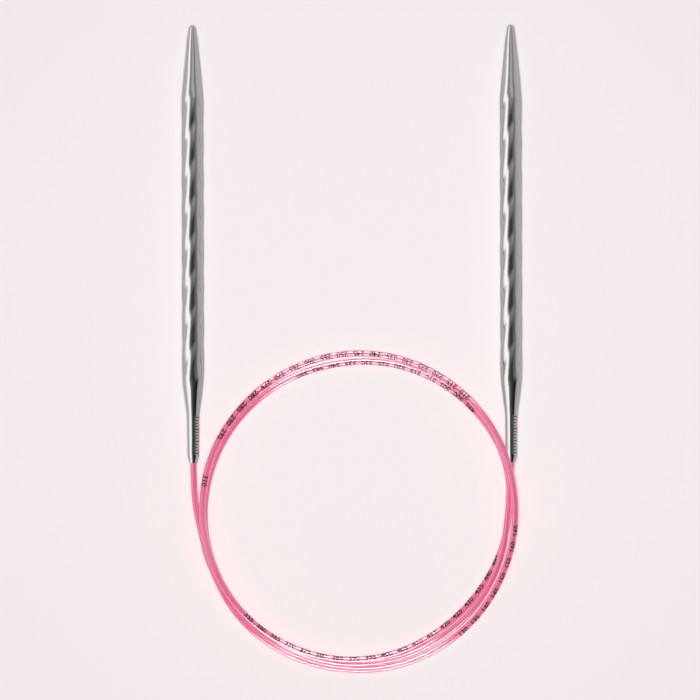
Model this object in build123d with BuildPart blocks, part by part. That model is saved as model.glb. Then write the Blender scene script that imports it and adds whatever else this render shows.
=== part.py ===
from build123d import *
import math
import os

# Circular knitting needle, laid flat on a table: two hollow, twisted needles side by side and one
# long cord between them, thrown in two and a half loops. Millimetres, +Z up, table at z = 0.
# The origin lies on the table, midway between the needles and midway along them. Points face +Y.

os.makedirs("parts", exist_ok=True)

# Needle, along its axis from the point
needle_length = 131.2
needle_spacing = 95.4  # axis to axis, as laid out
point_length = 4.6  # the blunter front of the point
cone_length = 21.0  # point to full shaft
taper_length = 10.9  # full shaft to neck
neck_length = 14.3  # neck and lip
lip_length = 2.1  # end of the neck, swaged down on the cord

# Needle, radii
nose_radius = 1.0
nose_start_radius = 0.9  # where the blunt front would begin without its rounding
point_radius = 1.6  # where the blunt front meets the long cone
neck_top_radius = 1.82
neck_end_radius = 1.68
lip_radius = 1.14
shaft_radius = 3.28
neck_blend = 60.0  # rounding between the taper and the neck

# Twist: four flats pressed into the round shaft, which turn as they run
flat_count = 4
flat_distance = 3.08  # axis to flat
press_depth = 1.0  # how far the pressing tool reaches outwards
press_margin = 0.3  # how far it stands past each edge of its flat
twist_pitch = 43.7  # one whole turn, right-handed
edge_station = 35.0  # distance from the point at which the round between two flats faces +X

# Hollow inside
bore_radius = 2.5
bore_front_clearance = 5.0  # solid metal behind the cone
bore_back_clearance = 2.0  # full shaft left between the bore and the taper

# Cord and the crimp sleeve that holds it in the neck
cord_diameter = 1.9
sleeve_wall = 0.3
sleeve_length = 9.5
socket_clearance = 0.02  # radial, cord in the lip
cord_past_sleeve = 0.6  # cord that stands out of the sleeve inside the needle

# Cord between a needle and the loops. It flexes about a point a little way out of the neck
left_flex_distance = 8.0
right_flex_distance = 6.0
running_gap = 0.3  # room between the right needle and the loops under it

# Loops: radius of the cord's centreline about their centre, one value for each compass step,
# anticlockwise from +X. The first loop starts at the left, where the cord comes in under the rest.
loop_center = (2.6, -79.4)
compass_step = 20
first_loop_start = 200
first_loop = [48.1, 49.2, 49.1, 48.6, 48.5, 48.0, 47.4, 46.6]
second_loop = [
    46.1, 46.0, 46.1, 46.2, 46.5, 46.7, 46.8, 47.1, 47.6,
    47.7, 47.5, 47.4, 46.6, 45.8, 44.8, 43.6, 43.1, 43.7,
]
third_loop = [
    44.5, 45.6, 45.0, 44.6, 44.3, 43.9, 44.5, 45.3, 46.2,
    47.0, 47.4, 47.4, 47.2, 46.9, 46.4, 45.7, 45.1, 44.4,
]
loop_layers = 2  # cords high

# Derived sizes
cord_radius = cord_diameter / 2
sleeve_radius = cord_radius + sleeve_wall
axis_height = shaft_radius  # the shafts rest on the table
neck_start = needle_length - neck_length
taper_start = neck_start - taper_length
bore_front = cone_length + bore_front_clearance
bore_back = taper_start - bore_back_clearance
loops_reach = max(first_loop + second_loop + third_loop) + cord_diameter  # past the loops' outer edge
point_y = needle_length / 2
mouth_y = -needle_length / 2
left_x = -needle_spacing / 2
right_x = needle_spacing / 2
lip_y = mouth_y + lip_length
sleeve_y = lip_y + sleeve_length
flat_width = 2 * math.sqrt(shaft_radius**2 - flat_distance**2)
twist_length = neck_start - point_length
twist_spans = math.ceil(twist_length / twist_pitch)  # each less than one turn


def from_point(distance):
    """Y of a station that lies this far from the needle's point."""
    return point_y - distance


def corner_radii(points):
    """Radius of the arc at each corner of a route, as large as its two runs allow."""
    places = [Vector(*point) for point in points]
    radii = []
    for before, corner, after in zip(places, places[1:], places[2:]):
        run_in = corner - before
        run_out = after - corner
        half_turn = math.radians(run_in.get_angle(run_out)) / 2
        radii.append(0.45 * min(run_in.length, run_out.length) / math.tan(half_turn))
    return radii


def rounded_loop(points):
    """Closed outline of straight runs joined by arcs as large as the runs allow."""
    radii = corner_radii([(x, y, 0) for x, y in [points[-1], *points, points[0]]])
    return FilletPolyline(*points, radius=radii, close=True)


# Needles, crimp sleeves and the cord's two ends, which the needles carry with them
for side, axis_x, flex_distance in (
    ("left", left_x, left_flex_distance),
    ("right", right_x, right_flex_distance),
):
    needle_axis = Axis((axis_x, 0, axis_height), (0, 1, 0))
    half_section = Plane((axis_x, 0, axis_height), x_dir=(1, 0, 0), z_dir=(0, 0, 1))

    with BuildPart() as needle:
        # turned bar: point, long cone, shaft, taper, neck and lip
        with BuildSketch(half_section):
            with BuildLine():
                outline = FilletPolyline(
                    (0, point_y),
                    (nose_start_radius, point_y),
                    (point_radius, from_point(point_length)),
                    (shaft_radius, from_point(cone_length)),
                    (shaft_radius, from_point(taper_start)),
                    (neck_top_radius, from_point(neck_start)),
                    (neck_end_radius, lip_y),
                    (lip_radius, mouth_y),
                    radius=[nose_radius, 0, 0, 0, neck_blend, 0],
                )
                Line(outline @ 1, (0, mouth_y))
                Line((0, mouth_y), (0, point_y))
            make_face()
        revolve(axis=needle_axis)
        # flats, pressed span by span from the neck to the point
        for span in range(twist_spans):
            span_length = twist_length / twist_spans
            span_y = from_point(neck_start) + span * span_length
            span_plane = Plane((axis_x, span_y, axis_height), x_dir=(1, 0, 0), z_dir=(0, 1, 0))
            flat_angle = 45 - 360 * (from_point(edge_station) - span_y) / twist_pitch
            with BuildLine() as spine:
                Line(span_plane.origin, (axis_x, span_y + span_length, axis_height))
            with BuildLine() as twist:
                Helix(twist_pitch, span_length, shaft_radius, span_plane.origin, (0, 1, 0))
            with BuildSketch(span_plane):
                with PolarLocations(flat_distance + press_depth / 2, flat_count, flat_angle):
                    Rectangle(press_depth, flat_width + 2 * press_margin)
            sweep(path=spine.line, binormal=twist.line.edge(), mode=Mode.SUBTRACT)
        # bore, sleeve seat and cord hole, open at the lip
        with BuildSketch(half_section):
            with BuildLine():
                Polyline(
                    (0, from_point(bore_front)),
                    (bore_radius, from_point(bore_front)),
                    (bore_radius, from_point(bore_back)),
                    (sleeve_radius, from_point(bore_back)),
                    (sleeve_radius, lip_y),
                    (cord_radius + socket_clearance, lip_y),
                    (cord_radius + socket_clearance, mouth_y),
                    (0, mouth_y),
                    close=True,
                )
            make_face()
        revolve(axis=needle_axis, mode=Mode.SUBTRACT)
    needle.part.label = f"{side}_needle"
    export_step(needle.part, f"parts/{side}_needle.step")

    with BuildPart() as crimp_sleeve:
        with BuildSketch(Plane((axis_x, sleeve_y, axis_height), z_dir=(0, -1, 0))):
            Circle(sleeve_radius)
            Circle(cord_radius, mode=Mode.SUBTRACT)
        extrude(amount=sleeve_length)
    crimp_sleeve.part.label = f"{side}_crimp_sleeve"
    export_step(crimp_sleeve.part, f"parts/{side}_crimp_sleeve.step")

    with BuildPart() as cord_end:
        cord_start_y = sleeve_y + cord_past_sleeve
        with BuildSketch(Plane((axis_x, cord_start_y, axis_height), z_dir=(0, -1, 0))):
            Circle(cord_radius)
        extrude(amount=cord_start_y - mouth_y + flex_distance)
    cord_end.part.label = f"{side}_cord_end"
    export_step(cord_end.part, f"parts/{side}_cord_end.step")

# Free cord from each flexing point down to the loops
left_flex_y = mouth_y - left_flex_distance
right_flex_y = mouth_y - right_flex_distance
left_route = [
    (left_x, left_flex_y, axis_height),
    (left_x, -79.6, axis_height),
    (-45.6, -90.6, 1.2),
]
right_route = [
    (right_x, right_flex_y, axis_height),
    (right_x, -76.0, axis_height),
    (46.6, -83.6, 2.9),
]
for side, route in (("left", left_route), ("right", right_route)):
    radii = corner_radii(route)
    print(side, "lead corner radii", [round(radius, 1) for radius in radii])
    with BuildPart() as lead:
        with BuildLine():
            lead_path = FilletPolyline(*route, radius=radii)
        with BuildSketch(Plane(lead_path @ 0, z_dir=lead_path % 0)):
            Circle(cord_radius)
        sweep()
    lead.part.label = f"{side}_lead"
    export_step(lead.part, f"parts/{side}_lead.step")
    section = math.pi * cord_radius**2
    print(side, "lead", round(lead_path.length, 2), round(lead.part.volume / section, 2))

# Loops of cord, as the closed outer shape that they fill
loops_from = first_loop_start // compass_step
outer_edge = []
inner_edge = []
for step in range(360 // compass_step):
    radii_here = [second_loop[step], third_loop[step]]
    if step >= loops_from:
        radii_here.append(first_loop[step - loops_from])
    angle = math.radians(step * compass_step)
    for edge, radius in (
        (outer_edge, max(radii_here) + cord_radius),
        (inner_edge, min(radii_here) - cord_radius),
    ):
        reach = radius / math.cos(math.radians(compass_step / 2))
        edge.append(
            (loop_center[0] + reach * math.cos(angle), loop_center[1] + reach * math.sin(angle))
        )

with BuildPart() as cord_loops:
    with BuildSketch():
        with BuildLine():
            rounded_loop(outer_edge)
        make_face()
        with BuildLine():
            rounded_loop(inner_edge)
        make_face(mode=Mode.SUBTRACT)
    extrude(amount=loop_layers * cord_diameter)
    # open notch in which the right needle's neck lies, and from which it swings outwards
    neck_room = neck_top_radius + running_gap
    with BuildSketch(Plane.XY.offset(axis_height - neck_room)):
        notch_x = right_x - neck_room
        notch_y = right_flex_y - neck_room
        with Locations((notch_x, notch_y)):
            Rectangle(
                loop_center[0] + loops_reach - notch_x,
                loop_center[1] + loops_reach - notch_y,
                align=Align.MIN,
            )
        fillet(vertices().group_by(Axis.Y)[0].sort_by(Axis.X)[0], neck_room)
    extrude(amount=loop_layers * cord_diameter, mode=Mode.SUBTRACT)
cord_loops.part.label = "cord_loops"
export_step(cord_loops.part, "parts/cord_loops.step")
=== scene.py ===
import logging
import math
from dataclasses import dataclass
from enum import Enum

import bpy
import numpy as np
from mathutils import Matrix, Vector


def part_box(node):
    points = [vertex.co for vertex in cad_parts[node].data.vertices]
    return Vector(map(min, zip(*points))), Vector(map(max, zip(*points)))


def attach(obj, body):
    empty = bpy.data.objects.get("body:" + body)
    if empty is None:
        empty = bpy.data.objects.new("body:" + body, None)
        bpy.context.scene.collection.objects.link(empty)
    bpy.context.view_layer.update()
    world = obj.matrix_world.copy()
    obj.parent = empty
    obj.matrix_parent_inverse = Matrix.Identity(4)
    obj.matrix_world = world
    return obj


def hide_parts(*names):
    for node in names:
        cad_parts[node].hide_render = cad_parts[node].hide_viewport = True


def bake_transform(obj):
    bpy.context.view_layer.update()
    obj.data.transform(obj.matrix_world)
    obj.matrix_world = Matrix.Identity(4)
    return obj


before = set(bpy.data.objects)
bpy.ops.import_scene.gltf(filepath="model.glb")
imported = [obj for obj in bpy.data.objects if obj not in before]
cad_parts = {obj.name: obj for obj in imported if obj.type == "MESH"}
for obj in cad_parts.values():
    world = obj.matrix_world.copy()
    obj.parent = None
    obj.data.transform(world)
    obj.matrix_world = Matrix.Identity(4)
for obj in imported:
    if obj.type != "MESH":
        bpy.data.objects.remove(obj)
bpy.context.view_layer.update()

# Circular knitting needle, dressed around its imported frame: two needles turned, pressed and plated, and
# one free nylon cord from neck to neck. Fields are in millimetres unless they say otherwise, and every
# mesh is in metres.

Colour = tuple[float, float, float, float]  # red, green, blue and alpha, in linear light
Stops = tuple[tuple[float, float], ...]  # angles in degrees, each with its brightness

MM = 0.001
UV_MAP = "along_and_round"
log = logging.getLogger("knitting_needle")


class Side(Enum):
    """The two needles, by the side on which they lie."""

    LEFT = "left"
    RIGHT = "right"


class Slot(Enum):
    """Names of the record's material slots for new pieces."""

    PLATE = "plated_metal"
    CORD = "cord"


# ---------------------------------------------------------------------------- helpers


def linear(colour: str) -> Colour:
    """Turns an sRGB hex colour into linear light.

    Args:
        colour: Six hex digits after a #.

    Returns:
        The colour, with an alpha of one.
    """
    channels = [int(colour.lstrip("#")[i : i + 2], 16) / 255 for i in (0, 2, 4)]
    red, green, blue = (c / 12.92 if c <= 0.04045 else ((c + 0.055) / 1.055) ** 2.4 for c in channels)
    return red, green, blue, 1.0


def add_node(tree: bpy.types.NodeTree, kind: str, settings: dict | None = None, **inputs) -> bpy.types.Node:
    """Adds a shader node with its settings and links.

    Args:
        tree: The node tree that gets the node.
        kind: The node's type, without its ShaderNode prefix.
        settings: Properties of the node itself.
        **inputs: Values, output sockets, or nodes whose first output is meant, by the input's name with
            underscores for its spaces. A name such as a0 is the input of that number.

    Returns:
        The new node.
    """
    node = tree.nodes.new("ShaderNode" + kind)
    for name, value in (settings or {}).items():
        setattr(node, name, value)
    for name, value in inputs.items():
        socket = node.inputs[int(name[1:])] if name[1:].isdigit() else node.inputs[name.replace("_", " ")]
        source = value.outputs[0] if isinstance(value, bpy.types.Node) else value
        if isinstance(source, bpy.types.NodeSocket):
            tree.links.new(source, socket)
        else:
            socket.default_value = source
    return node


def set_stops(ramp: bpy.types.ColorRamp, stops: list[tuple[float, Colour]]) -> None:
    """Gives a colour ramp its stops.

    Args:
        ramp: The ramp as it comes, with two stops.
        stops: Positions from nought to one, in order, each with its colour.
    """
    ramp.elements.remove(ramp.elements[1])
    for number, (position, colour) in enumerate(stops):
        element = ramp.elements[0] if number == 0 else ramp.elements.new(position)
        element.position = position
        element.color = colour


def new_material(name: str) -> tuple[bpy.types.Material, bpy.types.NodeTree]:
    """Makes an empty node material.

    Args:
        name: The material's name.

    Returns:
        The material and its node tree.
    """
    material = bpy.data.materials.new(name)
    material.use_nodes = True
    material.node_tree.nodes.clear()
    return material, material.node_tree


def dress(piece: bpy.types.Object, material: bpy.types.Material) -> None:
    """Gives a piece one material all over.

    Args:
        piece: A new piece or a CAD node.
        material: The finish.
    """
    if not piece.data.materials:
        piece.data.materials.append(material)
    for index in range(len(piece.material_slots)):
        piece.material_slots[index].material = material


def deselect() -> None:
    """Leaves object mode with nothing selected and nothing active."""
    if bpy.context.object and bpy.context.object.mode != "OBJECT":
        bpy.ops.object.mode_set(mode="OBJECT")
    bpy.ops.object.select_all(action="DESELECT")
    bpy.context.view_layer.objects.active = None


def activate(piece: bpy.types.Object) -> None:
    """Selects one piece and makes it active.

    Args:
        piece: The piece that the next operators work on.
    """
    deselect()
    piece.select_set(True)
    bpy.context.view_layer.objects.active = piece


def read_points(mesh: bpy.types.Mesh) -> np.ndarray:
    """Reads a mesh's vertices.

    Args:
        mesh: The mesh.

    Returns:
        An array of one row for each vertex.
    """
    points = np.empty(len(mesh.vertices) * 3)
    mesh.vertices.foreach_get("co", points)
    return points.reshape(-1, 3)


def write_points(mesh: bpy.types.Mesh, points: np.ndarray) -> None:
    """Writes a mesh's vertices.

    Args:
        mesh: The mesh.
        points: One row for each vertex.
    """
    mesh.vertices.foreach_set("co", points.ravel())
    mesh.update()


def unwrap(mesh: bpy.types.Mesh, along: np.ndarray, turns: np.ndarray) -> None:
    """Gives a long round mesh its UV map: metres along it, and turns round it.

    Args:
        mesh: The mesh.
        along: Each vertex's distance along, in metres.
        turns: Each vertex's place round, in turns.
    """
    corners = np.empty(len(mesh.loops), dtype=np.int64)
    mesh.loops.foreach_get("vertex_index", corners)
    sizes = np.empty(len(mesh.polygons), dtype=np.int64)
    mesh.polygons.foreach_get("loop_total", sizes)
    first = np.repeat(turns[corners[np.cumsum(sizes) - sizes]], sizes)
    # a face that crosses the seam runs on past a whole turn, not back to none
    step = (turns[corners] - first + 0.5) % 1.0 - 0.5
    layer = mesh.uv_layers.new(name=UV_MAP)
    layer.data.foreach_set("uv", np.stack([along[corners], first + step], axis=1).ravel())


def smooth(piece: bpy.types.Object, crease: float) -> None:
    """Turns a closed piece's faces outwards and shades it smooth.

    Args:
        piece: The piece.
        crease: The angle past which an edge stays sharp, in degrees.
    """
    activate(piece)
    bpy.ops.object.mode_set(mode="EDIT")
    bpy.ops.mesh.select_all(action="SELECT")
    bpy.ops.mesh.normals_make_consistent(inside=False)
    bpy.ops.object.mode_set(mode="OBJECT")
    bpy.ops.object.shade_smooth_by_angle(angle=math.radians(crease))


def walk(points: np.ndarray) -> np.ndarray:
    """Measures along a line.

    Args:
        points: Points along the line.

    Returns:
        Each point's distance from the line's start.
    """
    return np.concatenate([[0], np.cumsum(np.linalg.norm(np.diff(points, axis=0), axis=1))])


def read_line(walked: np.ndarray, values: np.ndarray, places: np.ndarray) -> np.ndarray:
    """Reads places or directions off a line.

    Args:
        walked: Distances along the line.
        values: The line's point or direction at each of those distances.
        places: Distances at which to read it.

    Returns:
        One row for each place.
    """
    return np.stack([np.interp(places, walked, values[:, axis]) for axis in range(3)], axis=1)


def frames(points: np.ndarray) -> tuple[np.ndarray, np.ndarray]:
    """Directions beside and above a line that never stands upright.

    Args:
        points: Points along the line.

    Returns:
        A sideways and an upward unit vector for each point, both square to the line.
    """
    along = np.gradient(points, axis=0)
    along /= np.linalg.norm(along, axis=1, keepdims=True)
    beside = np.cross(along, np.array([0.0, 0.0, 1.0]))
    beside /= np.linalg.norm(beside, axis=1, keepdims=True)
    return beside, np.cross(beside, along)


# ---------------------------------------------------------------------------- finishes


@dataclass(frozen=True)
class NickelPlate:
    """Brass plated with bright nickel and tumbled smooth: a mirror with a faint haze of fine polishing.

    The neck carries a plain graduation of ticks, etched by laser: small matt grey marks, dark where the
    mirror beside them is bright and pale where it is dark.
    """

    name: str = "bright_nickel_plate"
    colour: str = "#B4B4B4"
    edge_colour: str = "#CFCFCF"
    roughness: float = 0.03
    haze: float = 0.04  # how much rougher it gets in patches
    haze_width: float = 2.5
    polish_line: float = 0.12  # drawn wider than real polishing lines, which would not show
    polish_stretch: float = 20.0  # a line's length round the needle, in widths
    polish_depth: float = 0.0004
    polish_strength: float = 0.15
    etched_colour: str = "#606060"
    etched_metal: float = 0.6
    etched_roughness: float = 0.55
    etched_from: float = 117.3  # distance from the point
    etched_to: float = 128.9
    tick_pitch: float = 0.9
    tick_width: float = 0.36
    tick_start: float = 0.03  # in turns, from the top towards the right
    tick_length: float = 0.11  # in turns, as the next
    long_tick: float = 0.17
    long_every: int = 4  # ticks from one long one to the next

    def make(self) -> bpy.types.Material:
        """Builds the material. It reads the needle's own UV map: metres along it, and turns round it.

        Returns:
            The node material.
        """
        material, tree = new_material(self.name)
        place = add_node(tree, "TexCoord")
        cloud = add_node(tree, "TexNoise", Vector=place.outputs["Object"], Scale=1 / (self.haze_width * MM))
        rough = add_node(
            tree, "MapRange", Value=cloud, To_Min=self.roughness, To_Max=self.roughness + self.haze
        )
        # polishing lines run round the needle, so the pattern is stretched across it
        across = 1 / self.polish_stretch
        stretched = add_node(tree, "Mapping", Vector=place.outputs["Object"], Scale=(across, 1.0, across))
        lines = add_node(tree, "TexNoise", Vector=stretched, Scale=1 / (self.polish_line * MM), Detail=2.0)
        bump = add_node(
            tree, "Bump", Height=lines, Strength=self.polish_strength, Distance=self.polish_depth * MM
        )
        mirror = add_node(
            tree, "BsdfPrincipled", Base_Color=linear(self.colour), Metallic=1.0, Roughness=rough,
            Specular_Tint=linear(self.edge_colour), Normal=bump,
        )
        etched = add_node(
            tree, "BsdfPrincipled", Base_Color=linear(self.etched_colour), Metallic=self.etched_metal,
            Roughness=self.etched_roughness,
        )
        shader = add_node(tree, "MixShader", Fac=self.ticks(tree), a1=mirror, a2=etched)
        add_node(tree, "OutputMaterial", Surface=shader)
        return material

    def ticks(self, tree: bpy.types.NodeTree) -> bpy.types.Node:
        """Draws the graduation.

        Args:
            tree: The material's node tree.

        Returns:
            A node that gives one on a tick and nought beside it.
        """
        unwrapped = add_node(tree, "UVMap", {"uv_map": UV_MAP})
        axes = add_node(tree, "SeparateXYZ", Vector=unwrapped)
        turn = axes.outputs["Y"]
        station = add_node(tree, "Math", {"operation": "DIVIDE"}, a0=axes.outputs["X"], a1=MM)
        past = add_node(tree, "Math", {"operation": "SUBTRACT"}, a0=station, a1=self.etched_from)
        count = add_node(tree, "Math", {"operation": "DIVIDE"}, a0=past, a1=self.tick_pitch)
        into_step = add_node(tree, "Math", {"operation": "FRACT"}, a0=count)
        groups = add_node(tree, "Math", {"operation": "DIVIDE"}, a0=count, a1=self.long_every)
        into_group = add_node(tree, "Math", {"operation": "FRACT"}, a0=groups)
        is_long = add_node(tree, "Math", {"operation": "LESS_THAN"}, a0=into_group, a1=1 / self.long_every)
        length = add_node(tree, "MapRange", Value=is_long, To_Min=self.tick_length, To_Max=self.long_tick)
        end = add_node(tree, "Math", {"operation": "ADD"}, a0=length, a1=self.tick_start)
        marked = 1.0
        for operation, value, limit in (
            ("GREATER_THAN", station, self.etched_from),
            ("LESS_THAN", station, self.etched_to),
            ("LESS_THAN", into_step, self.tick_width / self.tick_pitch),
            ("GREATER_THAN", turn, self.tick_start),
            ("LESS_THAN", turn, end),
        ):
            test = add_node(tree, "Math", {"operation": operation}, a0=value, a1=limit)
            marked = add_node(tree, "Math", {"operation": "MULTIPLY"}, a0=marked, a1=test)
        return marked


@dataclass(frozen=True)
class BrushedSteel:
    """Drawn stainless tube, cut to length: fine lines along the tube and a soft grey gloss."""

    name: str = "drawn_stainless_steel"
    colour: str = "#B9B7B2"
    roughness: float = 0.28
    unevenness: float = 0.08  # how far the roughness goes up and down
    line_width: float = 0.15
    line_stretch: float = 0.03  # a line's width over its length

    def make(self) -> bpy.types.Material:
        """Builds the material.

        Returns:
            The node material.
        """
        material, tree = new_material(self.name)
        place = add_node(tree, "TexCoord")
        drawn = add_node(tree, "Mapping", Vector=place.outputs["Object"], Scale=(1.0, self.line_stretch, 1.0))
        lines = add_node(tree, "TexNoise", Vector=drawn, Scale=1 / (self.line_width * MM), Detail=3.0)
        rough = add_node(
            tree, "MapRange", Value=lines, To_Min=self.roughness - self.unevenness,
            To_Max=self.roughness + self.unevenness,
        )
        shader = add_node(
            tree, "BsdfPrincipled", Base_Color=linear(self.colour), Metallic=1.0, Roughness=rough
        )
        add_node(tree, "OutputMaterial", Surface=shader)
        return material


@dataclass(frozen=True)
class PinkNylon:
    """Extruded polyamide, dyed pink right through: glossy, and clear enough that its edges glow."""

    name: str = "dyed_polyamide"
    colour: str = "#EE7BA5"
    deep_colour: str = "#E66090"
    glow_colour: str = "#FFDCE8"
    passed_colour: str = "#F9C4D6"
    passed: float = 0.65  # share of the light that goes on through to what lies below
    roughness: float = 0.05
    ior: float = 1.53
    clearness: float = 0.2
    cloud: float = 0.5  # share of the light that is scattered inside
    cloud_depth: float = 0.6
    cloud_reach: tuple[float, float, float] = (1.0, 0.4, 0.5)  # red goes furthest
    glow: float = 1.0  # pale shine where the light grazes
    glow_roughness: float = 0.4
    skin: float = 0.6  # the glossy skin that extrusion leaves
    skin_ior: float = 1.8
    streak_length: float = 25.0
    streaks_round: float = 6.0  # dye streaks round the cord
    deep_until: float = 0.3  # where on the streaks' scale the deep colour ends
    full_from: float = 0.62

    def make(self) -> bpy.types.Material:
        """Builds the material. It reads the cord's own UV map: metres along it, and turns round it.

        Returns:
            The node material.
        """
        material, tree = new_material(self.name)
        place = add_node(tree, "UVMap", {"uv_map": UV_MAP})
        # the dye runs in faint streaks along the cord, as it was drawn out
        flow = add_node(
            tree, "Mapping", Vector=place, Scale=(1 / (self.streak_length * MM), self.streaks_round, 1.0)
        )
        streaks = add_node(tree, "TexNoise", Vector=flow, Scale=1.0, Detail=3.0)
        dye = add_node(tree, "ValToRGB", Fac=streaks)
        set_stops(
            dye.color_ramp,
            [(self.deep_until, linear(self.deep_colour)), (self.full_from, linear(self.colour))],
        )
        shader = add_node(
            tree, "BsdfPrincipled", Base_Color=dye, Roughness=self.roughness, IOR=self.ior,
            Transmission_Weight=self.clearness, Subsurface_Weight=self.cloud,
            Subsurface_Scale=self.cloud_depth * MM, Subsurface_Radius=self.cloud_reach,
            Sheen_Weight=self.glow, Sheen_Roughness=self.glow_roughness,
            Sheen_Tint=linear(self.glow_colour), Coat_Weight=self.skin, Coat_IOR=self.skin_ior,
            Coat_Roughness=self.roughness,
        )
        # shadow rays stop at clear nylon, though light does not: part of it is let through, dyed
        rays = add_node(tree, "LightPath")
        share = add_node(
            tree, "Math", {"operation": "MULTIPLY"}, a0=rays.outputs["Is Shadow Ray"], a1=self.passed
        )
        through = add_node(tree, "BsdfTransparent", Color=linear(self.passed_colour))
        mixed = add_node(tree, "MixShader", Fac=share, a1=shader, a2=through)
        add_node(tree, "OutputMaterial", Surface=mixed)
        return material


@dataclass(frozen=True)
class MarkingInk:
    """Solvent ink printed on the cord by a wheel: dark, nearly flat, worn thin in spots."""

    name: str = "printed_marking_ink"
    colour: str = "#38121F"
    thin_colour: str = "#5E2038"
    speck: float = 0.25
    worn_from: float = 0.5  # where on the specks' scale wear begins, and where it is full
    worn_until: float = 0.75
    roughness: float = 0.75
    specular: float = 0.15

    def make(self) -> bpy.types.Material:
        """Builds the material.

        Returns:
            The node material.
        """
        material, tree = new_material(self.name)
        place = add_node(tree, "TexCoord")
        specks = add_node(
            tree, "TexNoise", Vector=place.outputs["Object"], Scale=1 / (self.speck * MM), Detail=2.0
        )
        worn = add_node(tree, "ValToRGB", Fac=specks)
        set_stops(
            worn.color_ramp,
            [(self.worn_from, linear(self.colour)), (self.worn_until, linear(self.thin_colour))],
        )
        shader = add_node(
            tree, "BsdfPrincipled", Base_Color=worn, Roughness=self.roughness,
            Specular_IOR_Level=self.specular,
        )
        add_node(tree, "OutputMaterial", Surface=shader)
        return material


@dataclass(frozen=True)
class StudioPaper:
    """Seamless paper, rolled out flat: pale and matt, with the faintest tooth."""

    name: str = "seamless_paper"
    colour: str = "#F8F0F0"
    roughness: float = 0.95
    specular: float = 0.1
    tooth: float = 0.6
    tooth_depth: float = 0.02
    tooth_strength: float = 0.02

    def make(self) -> bpy.types.Material:
        """Builds the material.

        Returns:
            The node material.
        """
        material, tree = new_material(self.name)
        place = add_node(tree, "TexCoord")
        grain = add_node(
            tree, "TexNoise", Vector=place.outputs["Object"], Scale=1 / (self.tooth * MM), Detail=2.0
        )
        bump = add_node(
            tree, "Bump", Height=grain, Strength=self.tooth_strength, Distance=self.tooth_depth * MM
        )
        shader = add_node(
            tree, "BsdfPrincipled", Base_Color=linear(self.colour), Roughness=self.roughness,
            Specular_IOR_Level=self.specular, Normal=bump,
        )
        add_node(tree, "OutputMaterial", Surface=shader)
        return material


# ---------------------------------------------------------------------------- needles


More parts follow.
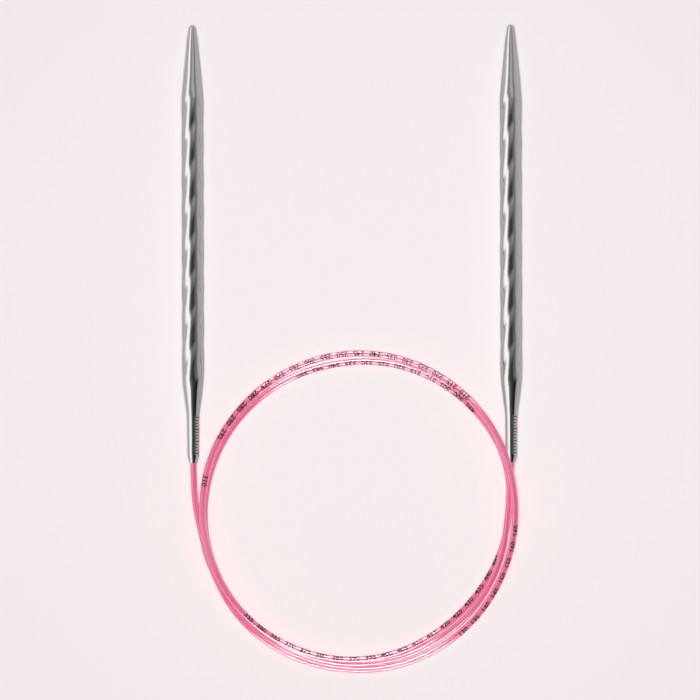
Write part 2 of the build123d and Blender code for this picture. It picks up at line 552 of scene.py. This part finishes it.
@dataclass
class Needle:
    """One needle: a turned bar with a blunt point, four flats pressed in a twist, a taper and a slim neck."""

    side: Side
    points_round: int = 128
    ring_step: float = 0.42
    nose_step: int = 12  # degrees between the rings of the nose
    crease: float = 32.0  # degrees past which an edge stays sharp
    point_length: float = 4.6
    cone_length: float = 21.0
    taper_start: float = 106.0
    neck_start: float = 116.9
    lip_length: float = 2.1
    nose_radius: float = 1.0
    nose_start_radius: float = 0.9  # where the blunt front would begin without its rounding
    nose_fullness: float = 1.05  # how far the rounding is filled out to meet the blunt front
    point_radius: float = 1.6
    shaft_radius: float = 3.28
    neck_top_radius: float = 1.82
    neck_end_radius: float = 1.68
    lip_radius: float = 1.14
    polish: float = 1.1  # how far polishing has rounded the steps of the turned profile
    polish_steps: int = 9  # places within that reach at which the turned profile counts
    polish_limit: float = 1.2  # in reaches, where a place would count for nothing
    flat_count: int = 4
    flat_distance: float = 3.32  # axis to flat, before it is softened
    flat_softness: float = 0.31  # how gently a flat runs into the round beside it
    twist_pitch: float = 43.7
    edge_station: float = 35.55  # distance from the point at which the round between two flats faces +X
    bore_radius: float = 2.5
    bore_front: float = 26.0
    bore_back: float = 104.0
    cord_hole_radius: float = 0.97
    sleeve_radius: float = 1.25

    @property
    def node(self) -> str:
        """Name of the CAD node that the needle stands for."""
        return f"{self.side.value}_needle"

    def place(self) -> tuple[Vector, float]:
        """Reads the needle's place from the frame.

        Returns:
            The point's tip on the axis, in metres, and the needle's length in millimetres.
        """
        low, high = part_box(self.node)
        tip = Vector(((low.x + high.x) / 2, high.y, (low.z + high.z) / 2))
        return tip, (high.y - low.y) / MM

    def profile(self, station: np.ndarray, length: float) -> np.ndarray:
        """Radius of the turned and polished bar.

        Args:
            station: Distances from the point.
            length: The needle's whole length.

        Returns:
            The radius at each station.
        """
        corners = (
            (0, self.nose_start_radius), (self.point_length, self.point_radius),
            (self.cone_length, self.shaft_radius), (self.taper_start, self.shaft_radius),
            (self.neck_start, self.neck_top_radius),
            (length - self.lip_length, self.neck_end_radius), (length, self.lip_radius),
        )
        stations, radii = zip(*corners)
        offsets = np.linspace(-1, 1, self.polish_steps)
        weights = 1 - np.abs(offsets) / self.polish_limit
        weights /= weights.sum()
        # the lip keeps its swaged edge, so rounding fades out towards it
        reach = self.polish * np.clip((length - self.lip_length - station) / self.polish, 0, 1)
        turned = sum(
            weight * np.interp(station + offset * reach, stations, radii)
            for weight, offset in zip(weights, offsets)
        )
        depth = np.clip(station, 0, self.nose_radius)
        nose = np.sqrt(np.maximum(self.nose_radius**2 - (self.nose_radius - depth) ** 2, 0))
        rounded = np.minimum(turned, nose * turned / self.nose_radius * self.nose_fullness)
        return np.where(station < self.nose_radius, rounded, turned)

    def press(self, piece: bpy.types.Object, tip: Vector, length: float) -> None:
        """Turns the bar to its profile and presses the flats, which turn as they run.

        Args:
            piece: The plain bar, made of rings.
            tip: The point's tip, in metres.
            length: The needle's whole length.
        """
        local = (read_points(piece.data) - np.array(tip)) / MM
        station = -local[:, 1]
        radius = self.profile(station, length)
        around = np.arctan2(local[:, 2], local[:, 0])
        # angle from the middle of the nearest flat, soft where flat and round meet
        share = 2 * math.pi / self.flat_count
        off_flat = around % share - share / 2
        gap = radius - self.flat_distance / np.cos(off_flat)
        pressed = radius - (gap + np.sqrt(gap**2 + self.flat_softness**2)) / 2
        sunk = np.where(station > self.point_length, pressed, radius)
        angle = around - 2 * math.pi * (self.edge_station - station) / self.twist_pitch
        local[:, 0] = sunk * np.cos(angle)
        local[:, 2] = sunk * np.sin(angle)
        write_points(piece.data, local * MM + np.array(tip))

    def stations(self, length: float) -> list[float]:
        """Where the rings of the bar stand.

        Args:
            length: The needle's whole length.

        Returns:
            Distances from the point, from the nose to the lip.
        """
        angles = range(self.nose_step, 90, self.nose_step)
        nose = [self.nose_radius * (1 - math.cos(math.radians(angle))) for angle in angles]
        count = round((length - self.lip_length - nose[-1]) / self.ring_step)
        body = np.linspace(nose[-1], length - self.lip_length, count + 1)[1:]
        return [*nose, *body.tolist(), length - self.lip_length / 2, length]

    def extrude(self, distance: float, scale: float = 1.0, center: Vector | None = None) -> None:
        """Extrudes the selected end face along the needle, away from its point.

        Args:
            distance: How far, in millimetres.
            scale: How much wider the new ring is.
            center: Middle of the new ring, in metres, where it is scaled.
        """
        bpy.ops.mesh.extrude_region_move(TRANSFORM_OT_translate={"value": (0, -distance * MM, 0)})
        if center is not None:
            bpy.ops.transform.resize(value=(scale, 1, scale), center_override=center)

    def hollow(self, tip: Vector, length: float) -> None:
        """Extrudes the lip's selected face back inside: cord hole, sleeve seat and bore.

        Args:
            tip: The point's tip, in metres.
            length: The needle's whole length.
        """
        station, radius = length, self.lip_radius
        for inner_radius, inner_end in (
            (self.cord_hole_radius, length - self.lip_length),
            (self.sleeve_radius, self.bore_back),
            (self.bore_radius, self.bore_front),
        ):
            self.extrude(0, inner_radius / radius, tip - Vector((0, station * MM, 0)))
            self.extrude(inner_end - station)
            station, radius = inner_end, inner_radius

    def build(self, finish: bpy.types.Material) -> bpy.types.Object:
        """Models the needle.

        Args:
            finish: The needle's material.

        Returns:
            The needle, riding on its own body and standing for the CAD node.
        """
        tip, length = self.place()
        deselect()
        stations = self.stations(length)
        bpy.ops.mesh.primitive_circle_add(
            vertices=self.points_round, radius=MM, fill_type="NGON", rotation=(math.pi / 2, 0, 0),
            location=tip - Vector((0, stations[0] * MM, 0)),
        )
        piece = bpy.context.object
        piece.name = f"{self.side.value}_plated_needle"
        bpy.ops.object.transform_apply(location=True, rotation=True, scale=True)
        bpy.ops.object.mode_set(mode="EDIT")
        bpy.ops.mesh.select_all(action="SELECT")
        for before, after in zip(stations, stations[1:]):
            self.extrude(after - before)
        bpy.ops.object.mode_set(mode="OBJECT")
        self.press(piece, tip, length)
        bpy.ops.object.mode_set(mode="EDIT")
        self.hollow(tip, length)
        bpy.ops.object.mode_set(mode="OBJECT")
        smooth(piece, self.crease)
        local = read_points(piece.data) - np.array(tip)
        turns = np.arctan2(local[:, 0], local[:, 2]) / (2 * math.pi)
        unwrap(piece.data, -local[:, 1], turns % 1.0)
        dress(piece, finish)
        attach(piece, self.node)
        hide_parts(self.node)
        return piece


# ---------------------------------------------------------------------------- cord


@dataclass
class Cord:
    """The cord's whole route, neck to neck, thrown in two and a half loose loops."""

    diameter: float = 1.9
    sides: int = 24
    ring_step: float = 0.8
    crease: float = 40.0  # degrees past which an edge stays sharp
    loop_center: tuple[float, float] = (2.6, -79.4)
    compass_step: int = 20
    first_loop_start: int = 200
    # the centreline's distance from the loops' centre, and its height, at each compass step anticlockwise
    # from +X
    first_radii: tuple[float, ...] = (48.1, 49.2, 49.1, 48.6, 48.5, 48.0, 47.4, 46.6)
    first_heights: tuple[float, ...] = (0.95, 0.95, 0.95, 0.95, 0.95, 0.95, 1.0, 2.4)
    second_radii: tuple[float, ...] = (
        46.1, 46.0, 46.1, 46.2, 46.5, 46.7, 46.8, 47.1, 47.6,
        47.7, 47.5, 47.4, 46.6, 45.8, 44.8, 43.6, 43.1, 43.7,
    )
    second_heights: tuple[float, ...] = (
        5.3, 5.5, 3.4, 2.0, 1.0, 0.95, 0.95, 1.9, 2.7,
        4.4, 5.35, 4.0, 3.55, 3.3, 2.55, 1.0, 0.95, 0.95,
    )
    third_radii: tuple[float, ...] = (
        44.5, 45.6, 45.0, 44.6, 44.3, 43.9, 44.5, 45.3, 46.2,
        47.0, 47.4, 47.4, 47.2, 46.9, 46.4, 45.7, 45.1, 44.4,
    )
    third_heights: tuple[float, ...] = (
        0.95, 0.95, 0.95, 0.95, 0.95, 0.95, 0.95, 0.95, 1.2,
        2.4, 3.3, 1.8, 1.65, 1.65, 1.1, 0.95, 1.9, 2.9,
    )
    left_lead: tuple[tuple[float, float, float], ...] = (
        (-47.7, -59.6, 3.28), (-47.7, -65.6, 3.28), (-47.6, -69.6, 3.28), (-47.4, -75.5, 2.9),
        (-46.7, -81.0, 1.9), (-45.2, -88.0, 1.0),
    )
    right_lead: tuple[tuple[float, float, float], ...] = (
        (46.9, -79.0, 3.0), (47.0, -74.5, 3.15), (47.5, -70.5, 3.25), (47.7, -65.6, 3.28),
        (47.7, -59.6, 3.28),
    )

    def control_points(self) -> list[tuple[float, float, float]]:
        """Lays the route out.

        Returns:
            The control points, in millimetres, from the left neck to the right one.
        """
        loops = [
            (self.first_loop_start, self.first_radii, self.first_heights),
            (0, self.second_radii, self.second_heights),
            (0, self.third_radii, self.third_heights),
        ]
        points = list(self.left_lead)
        # a line of this kind touches the middles of its control polygon's sides, inside the corners
        outside = 1 / math.cos(math.radians(self.compass_step / 2))
        for start, radii, heights in loops:
            for step, (radius, height) in enumerate(zip(radii, heights)):
                angle = math.radians(start + step * self.compass_step)
                x = self.loop_center[0] + radius * outside * math.cos(angle)
                y = self.loop_center[1] + radius * outside * math.sin(angle)
                points.append((x, y, height))
        points.extend(self.right_lead)
        return points

    def line(self) -> np.ndarray:
        """Draws the route as one smooth NURBS line and walks along it in even steps.

        Returns:
            Points along the cord's centreline, in metres.
        """
        control = self.control_points()
        curve = bpy.data.curves.new("cord_route", "CURVE")
        curve.dimensions = "3D"
        curve.resolution_u = 16
        spline = curve.splines.new("NURBS")
        spline.points.add(len(control) - 1)
        for point, place in zip(spline.points, control):
            point.co = (*(Vector(place) * MM), 1)
        spline.order_u = 3
        spline.use_endpoint_u = True
        holder = bpy.data.objects.new("cord_route", curve)
        drawn = bpy.data.meshes.new_from_object(holder)
        dense = read_points(drawn)
        bpy.data.objects.remove(holder)
        bpy.data.curves.remove(curve)
        bpy.data.meshes.remove(drawn)
        walked = walk(dense)
        count = round(walked[-1] / (self.ring_step * MM))
        return read_line(walked, dense, np.linspace(0, walked[-1], count + 1))

    def tube(self, name: str, points: np.ndarray, start: float) -> bpy.types.Object:
        """Makes one length of the cord, closed, with a UV map of metres along and turns round.

        Args:
            name: The piece's name.
            points: Its centreline, in metres.
            start: How far along the whole cord it starts, in metres.

        Returns:
            The piece.
        """
        sides = self.sides
        beside, above = frames(points)
        turns = np.arange(sides) * 2 * math.pi / sides
        rings = points[:, None] + self.diameter / 2 * MM * (
            np.sin(turns)[None, :, None] * beside[:, None] + np.cos(turns)[None, :, None] * above[:, None]
        )
        count = len(points)
        faces = [
            (ring + s, ring + (s + 1) % sides, ring + sides + (s + 1) % sides, ring + sides + s)
            for ring in range(0, (count - 1) * sides, sides)
            for s in range(sides)
        ]
        ends = [tuple(reversed(range(sides))), tuple((count - 1) * sides + s for s in range(sides))]
        mesh = bpy.data.meshes.new(name)
        mesh.from_pydata(rings.reshape(-1, 3).tolist(), [], faces + ends)
        unwrap(mesh, np.repeat(start + walk(points), sides), np.tile(turns / (2 * math.pi), count))
        piece = bpy.data.objects.new(name, mesh)
        bpy.context.scene.collection.objects.link(piece)
        smooth(piece, self.crease)
        return piece


@dataclass
class CordPieces:
    """The cord in three lengths: two leads, one at each needle, and the loops between them."""

    cord: Cord
    lead_in: float = 46.0  # from the left end of the modelled line to the first seam
    lead_out: float = 40.0  # from the last seam to the right end
    left_bend: float = 16.0  # how far outside its neck the left lead takes to bend
    right_bend: float = 12.0

    def build(self, finish: bpy.types.Material) -> tuple[list[bpy.types.Object], np.ndarray]:
        """Cuts the line in three and models each length.

        Args:
            finish: The cord's material.

        Returns:
            The pieces, and the whole line in metres.
        """
        cord = self.cord
        line = cord.line()
        first = round(self.lead_in / cord.ring_step)
        last = len(line) - 1 - round(self.lead_out / cord.ring_step)
        pieces = []
        for name, start, end, way in (
            ("left_cord_lead", 0, first, 1), ("loops_of_cord", first, last, 1),
            ("right_cord_lead", last, len(line) - 1, -1),
        ):
            part = line[start : end + 1]
            piece = cord.tube(name, part, start * cord.ring_step * MM)
            dress(piece, finish)
            piece.visible_glossy = False  # keeps the cord's dark side out of the polished necks
            pieces.append(piece)
        self.carry(pieces)
        return pieces, line

    def carry(self, pieces: list[bpy.types.Object]) -> None:
        """Fastens the loops to the cord's body and bakes the two leads where they lie; each length's CAD
        nodes are hidden.

        Args:
            pieces: The left lead, the loops and the right lead.
        """
        left, loops, right = pieces
        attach(loops, "cord")
        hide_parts("cord_loops")
        for piece, side, bend in ((left, Side.LEFT, self.left_bend), (right, Side.RIGHT, self.right_bend)):
            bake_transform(piece)
            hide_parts(f"{side.value}_cord_end", f"{side.value}_lead")


@dataclass
class CordScale:
    """Plain millimetre numbers printed along the cord, as on a tape measure."""

    # from and to, in degrees anticlockwise from +X, which run on from loop to loop; then the degrees by
    # which the numbers there stand off the cord's top
    stretches: tuple[tuple[float, float, float], ...] = (
        (305, 356, 35), (404, 515, 0), (525, 534, 0), (578, 705, -30), (758, 838, -25),
    )
    spacing: float = 5.0
    letter_size: float = 2.35
    letter_reach: float = 0.4  # in letter sizes, how far a letter stands above and below its middle
    boldness: float = 0.075
    thickness: float = 0.012
    lift: float = 0.4  # in thicknesses, so that a number's underside is just inside the cord
    bands: int = 8  # how finely a number is cut across, to lie round the cord
    merge: float = 0.0005

    def build(self, cord: Cord, line: np.ndarray, ink: bpy.types.Material) -> bpy.types.Object:
        """Lays the numbers on the cord's upper side.

        Args:
            cord: The cord.
            line: The cord's centreline, in metres.
            ink: The numbers' material.

        Returns:
            All the numbers as one piece.
        """
        walked = walk(line)
        centers, rolls = (np.array(column) for column in zip(*self.places(cord, line, walked)))
        piece = self.set_flat(centers.tolist())
        flat = read_points(piece.data)
        radius = cord.diameter / 2 * MM
        nearest = np.abs(flat[:, :1] - centers).argmin(axis=1)
        turn = np.radians(rolls[nearest]) - flat[:, 1] / radius
        out = radius + flat[:, 2] + self.thickness * MM * self.lift
        middle, beside, above = (read_line(walked, values, flat[:, 0]) for values in (line, *frames(line)))
        laid = middle + out[:, None] * (np.sin(turn)[:, None] * beside + np.cos(turn)[:, None] * above)
        write_points(piece.data, laid)
        dress(piece, ink)
        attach(piece, "cord")
        return piece

    def set_flat(self, centers: list[float]) -> bpy.types.Object:
        """Sets the numbers in a row along X and cuts them across.

        Args:
            centers: Where each number stands, in metres, which is also what it says in millimetres.

        Returns:
            All the numbers as one piece, still flat.
        """
        numbers = []
        for center in centers:
            deselect()
            bpy.ops.object.text_add(location=(center, 0, 0))
            text = bpy.context.object.data
            text.body = str(round(center / MM))
            text.size = self.letter_size * MM
            text.align_x = "CENTER"
            text.align_y = "CENTER"
            text.offset = self.boldness * MM
            text.extrude = self.thickness * MM / 2
            text.resolution_u = 2
            bpy.ops.object.convert(target="MESH")
            numbers.append(bpy.context.object)
        activate(numbers[0])
        for number in numbers:
            number.select_set(True)
        bpy.ops.object.join()
        piece = bpy.context.object
        piece.name = "cord_numbers"
        bpy.ops.object.transform_apply(location=True, rotation=True, scale=True)
        bpy.ops.object.mode_set(mode="EDIT")
        reach = self.letter_size * self.letter_reach
        for height in np.linspace(-reach, reach, self.bands + 1).tolist():
            bpy.ops.mesh.select_all(action="SELECT")
            bpy.ops.mesh.bisect(plane_co=(0, height * MM, 0), plane_no=(0, 1, 0))
        bpy.ops.mesh.select_all(action="SELECT")
        bpy.ops.mesh.remove_doubles(threshold=self.merge * MM)
        bpy.ops.mesh.normals_make_consistent(inside=False)
        bpy.ops.object.mode_set(mode="OBJECT")
        return piece

    def places(self, cord: Cord, line: np.ndarray, walked: np.ndarray) -> list[tuple[float, float]]:
        """Finds where numbers stand.

        Args:
            cord: The cord.
            line: The cord's centreline, in metres.
            walked: Each point's distance along the line, in metres.

        Returns:
            Distances along the line, in metres, each with the degrees by which its number is off the top.
        """
        center = np.array(cord.loop_center) * MM
        turned = np.degrees(np.unwrap(np.arctan2(line[:, 1] - center[1], line[:, 0] - center[0])))
        turned += 360 * round((cord.first_loop_start - cord.compass_step - turned[0]) / 360)
        count = int(walked[-1] / (self.spacing * MM))
        marks = [number * self.spacing * MM for number in range(1, count)]
        return [
            (mark, roll) for mark in marks for low, high, roll in self.stretches
            if low < np.interp(mark, walked, turned) < high
        ]


# ---------------------------------------------------------------------------- studio


def hang_lamp(
    name: str, place: Vector, target: Vector, size: tuple[float, float], power: float
) -> bpy.types.Object:
    """Hangs a soft lamp.

    Args:
        name: The lamp's name.
        place: Where it hangs, in metres.
        target: Where it points, in metres.
        size: Its width and length, in metres.
        power: Its power, in watts.

    Returns:
        The lamp.
    """
    light = bpy.data.lights.new(name, "AREA")
    light.shape = "RECTANGLE"
    light.size, light.size_y = size
    light.energy = power
    lamp = bpy.data.objects.new(name, light)
    bpy.context.scene.collection.objects.link(lamp)
    lamp.location = place
    lamp.rotation_euler = (target - place).to_track_quat("-Z", "Y").to_euler()
    return lamp


@dataclass
class StripLight:
    """A wide strip light across one end of the room, which shows only as a fine shine on the cord."""

    name: str
    side: int  # 1 beyond the points, -1 in front of the loops
    top: float  # height of its upper edge, as the sine of its angle above the floor
    top_fade: float = 0.04
    foot: tuple[float, float] = (0.28, 0.4)  # where its lower edge begins and is at full strength
    ends: tuple[float, float] = (0.9, 0.5)  # the same for its two ends, as sideways over front to back
    level: float = 16.0  # against 1 for white paper
    distance: float = 4.0  # metres
    slope: float = 36.0  # degrees above the floor
    size: tuple[float, float] = (7.8, 3.8)  # metres

    def hang(self, target: Vector, shown_by: list[bpy.types.Object]) -> None:
        """Hangs the light.

        Args:
            target: Where it points, in metres.
            shown_by: The pieces that show it.
        """
        slope = math.radians(self.slope)
        place = Vector((0, self.side * self.distance * math.cos(slope), self.distance * math.sin(slope)))
        width, height = self.size
        lamp = hang_lamp(self.name, place, target, self.size, math.pi * width * height * self.level)
        lamp.visible_diffuse = False
        lamp.visible_transmission = False
        collection = bpy.data.collections.new(self.name)
        for piece in shown_by:
            collection.objects.link(piece)
        lamp.light_linking.receiver_collection = collection
        self.shade(lamp.data)

    def shade(self, light: bpy.types.Light) -> None:
        """Fades the light towards every edge.

        Args:
            light: The lamp's data.
        """
        light.use_nodes = True
        tree = light.node_tree
        tree.nodes.clear()
        surface = add_node(tree, "NewGeometry")
        towards = add_node(tree, "VectorMath", {"operation": "NORMALIZE"}, a0=surface.outputs["Position"])
        axes = add_node(tree, "SeparateXYZ", Vector=towards)
        height = axes.outputs["Z"]
        sideways = add_node(tree, "Math", {"operation": "ABSOLUTE"}, a0=axes.outputs["X"])
        front_back = add_node(tree, "Math", {"operation": "ABSOLUTE"}, a0=axes.outputs["Y"])
        spread = add_node(tree, "Math", {"operation": "DIVIDE"}, a0=sideways, a1=front_back)
        # what the cord throws back at the paper stays out, so no halo lies round the loops
        rays = add_node(tree, "LightPath")
        strength = add_node(
            tree, "Math", {"operation": "LESS_THAN"}, a0=rays.outputs["Diffuse Depth"], a1=0.5
        )
        for value, (start, full) in (
            (height, (self.top, self.top - self.top_fade)), (height, self.foot), (spread, self.ends)
        ):
            share = add_node(
                tree, "MapRange", {"interpolation_type": "SMOOTHSTEP"}, Value=value, From_Min=start,
                From_Max=full,
            )
            strength = add_node(tree, "Math", {"operation": "MULTIPLY"}, a0=strength, a1=share)
        glow = add_node(tree, "Emission", Strength=strength)
        add_node(tree, "OutputLight", Surface=glow)


@dataclass
class Room:
    """The room round the table: even for matt surfaces, and with a softbox and a dark card for gloss.

    Gloss sees it in three rows, from the loops' end to the points' end. Each is a list of stops from left
    to right: degrees from straight up, positive to the right, and brightness. The softbox stands at the
    left and grey wall at the right, and over the first two rows the dark card hangs between them.
    """

    near: Stops = (
        (-92, 0.4), (-88, 0.62), (-62, 0.92), (-40, 1.0), (-32, 0.26), (-24, 0.18), (-12, 0.055), (0, 0.045),
        (12, 0.025), (36, 0.008), (47, 0.02), (56, 0.23), (70, 0.32), (90, 0.4),
    )
    middle: Stops = (
        (-92, 0.4), (-88, 0.62), (-62, 0.95), (-40, 0.9), (-32, 0.42), (-24, 0.16), (-12, 0.05), (10, 0.032),
        (20, 0.065), (30, 0.12), (46, 0.17), (56, 0.3), (70, 0.34), (90, 0.3),
    )
    far: Stops = (
        (-92, 0.38), (-84, 0.44), (-72, 0.52), (-64, 0.82), (-52, 0.97), (-43, 0.85), (-34, 0.34),
        (-23, 0.17), (-12, 0.27), (0, 0.37), (14, 0.35), (24, 0.2), (33, 0.16), (42, 0.3), (56, 0.36),
        (90, 0.4),
    )
    near_end: float = -14.0  # degrees from straight up towards the points, as the next
    far_start: float = 10.0
    gloss_strength: float = 2.15
    even_strength: float = 0.12

    def build(self) -> None:
        """Builds the world."""
        world = bpy.data.worlds.new("studio")
        bpy.context.scene.world = world
        world.use_nodes = True
        tree = world.node_tree
        tree.nodes.clear()
        place = add_node(tree, "TexCoord")
        axes = add_node(tree, "SeparateXYZ", Vector=place.outputs["Generated"])
        up = axes.outputs["Z"]
        across = add_node(tree, "Math", {"operation": "ARCTAN2"}, a0=axes.outputs["X"], a1=up)
        along = add_node(tree, "Math", {"operation": "ARCTAN2"}, a0=axes.outputs["Y"], a1=up)
        share = add_node(tree, "MapRange", Value=across, From_Min=-math.pi, From_Max=math.pi)
        # the middle of a ramp is straight up, and both its ends are straight down
        rows = []
        for stops in (self.near, self.middle, self.far):
            row = add_node(tree, "ValToRGB", Fac=share)
            set_stops(row.color_ramp, [(0.5 + angle / 360, (level,) * 3 + (1.0,)) for angle, level in stops])
            rows.append(row)
        near, middle, far = rows
        near_end, far_start = math.radians(self.near_end), math.radians(self.far_start)
        past_near = add_node(tree, "MapRange", Value=along, From_Min=near_end, From_Max=0.0)
        in_far = add_node(tree, "MapRange", Value=along, From_Min=0.0, From_Max=far_start)
        seen = add_node(tree, "Mix", {"data_type": "RGBA"}, a0=past_near, a6=near, a7=middle)
        seen = add_node(tree, "Mix", {"data_type": "RGBA"}, a0=in_far, a6=seen.outputs[2], a7=far)
        in_gloss = add_node(tree, "Background", Color=seen.outputs[2], Strength=self.gloss_strength)
        even = add_node(tree, "Background", Color=linear("#FFFFFF"), Strength=self.even_strength)
        rays = add_node(tree, "LightPath")
        mixed = add_node(tree, "MixShader", Fac=rays.outputs["Is Glossy Ray"], a1=even, a2=in_gloss)
        add_node(tree, "OutputWorld", Surface=mixed)


@dataclass
class Studio:
    """Pale paper floor, soft lamps and a camera that looks straight down."""

    view_center: tuple[float, float] = (-0.67, -31.8)
    view_width: float = 210.0
    view_height: float = 3.28
    camera_distance: float = 1.2  # metres
    sensor: float = 36.0
    roll: float = -0.00206  # radians
    floor_size: float = 6.0  # metres, as the next two
    overhead_place: tuple[float, float, float] = (0.0, -0.03, 0.9)
    overhead_size: tuple[float, float] = (0.2, 0.2)
    overhead_power: float = 7.0  # watts
    near_strip_top: float = 0.79  # sines of the angles above the floor at which the strip lights end
    far_strip_top: float = 0.88

    def build(self, paper: bpy.types.Material, cord: list[bpy.types.Object]) -> None:
        """Builds floor, camera, lamps and world.

        Args:
            paper: The floor's material.
            cord: The cord's pieces, which alone show the strip lights.
        """
        scene = bpy.context.scene
        deselect()
        bpy.ops.mesh.primitive_plane_add(size=self.floor_size, location=(0, 0, 0))
        floor = bpy.context.object
        floor.name = "paper_floor"
        bpy.ops.object.transform_apply(location=True, rotation=True, scale=True)
        dress(floor, paper)
        center = Vector((self.view_center[0] * MM, self.view_center[1] * MM, self.view_height * MM))
        camera = bpy.data.objects.new("camera", bpy.data.cameras.new("camera"))
        scene.collection.objects.link(camera)
        camera.data.sensor_width = self.sensor
        camera.data.lens = self.sensor * self.camera_distance / (self.view_width * MM)
        camera.data.clip_start = 0.01
        camera.location = center + Vector((0, 0, self.camera_distance))
        camera.rotation_euler = (0, 0, self.roll)
        scene.camera = camera
        target = Vector((center.x, center.y, 0))
        overhead = hang_lamp(
            "overhead", Vector(self.overhead_place), target, self.overhead_size, self.overhead_power
        )
        overhead.visible_glossy = False
        StripLight("near_strip", -1, self.near_strip_top).hang(target, cord)
        StripLight("far_strip", 1, self.far_strip_top).hang(target, cord)
        Room().build()
        scene.view_settings.view_transform = "Standard"


def main() -> None:
    """Builds the finishes, the needles, the cord and the studio, and reports each."""
    logging.basicConfig(level=logging.INFO, format="%(name)s: %(message)s")
    plate = NickelPlate().make()
    steel = BrushedSteel().make()
    nylon = PinkNylon().make()
    metal_pieces = []
    for side in Side:
        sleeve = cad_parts[f"{side.value}_crimp_sleeve"]
        dress(sleeve, steel)
        metal_pieces += [Needle(side).build(plate), sleeve]
    cord = Cord()
    cord_pieces, line = CordPieces(cord).build(nylon)
    cord_pieces.append(CordScale().build(cord, line, MarkingInk().make()))
    for piece in metal_pieces + cord_pieces:
        log.info("%s: %d faces", piece.name, len(piece.data.polygons))
    Studio().build(StudioPaper().make(), cord_pieces)


if __name__ == "__main__":
    main()
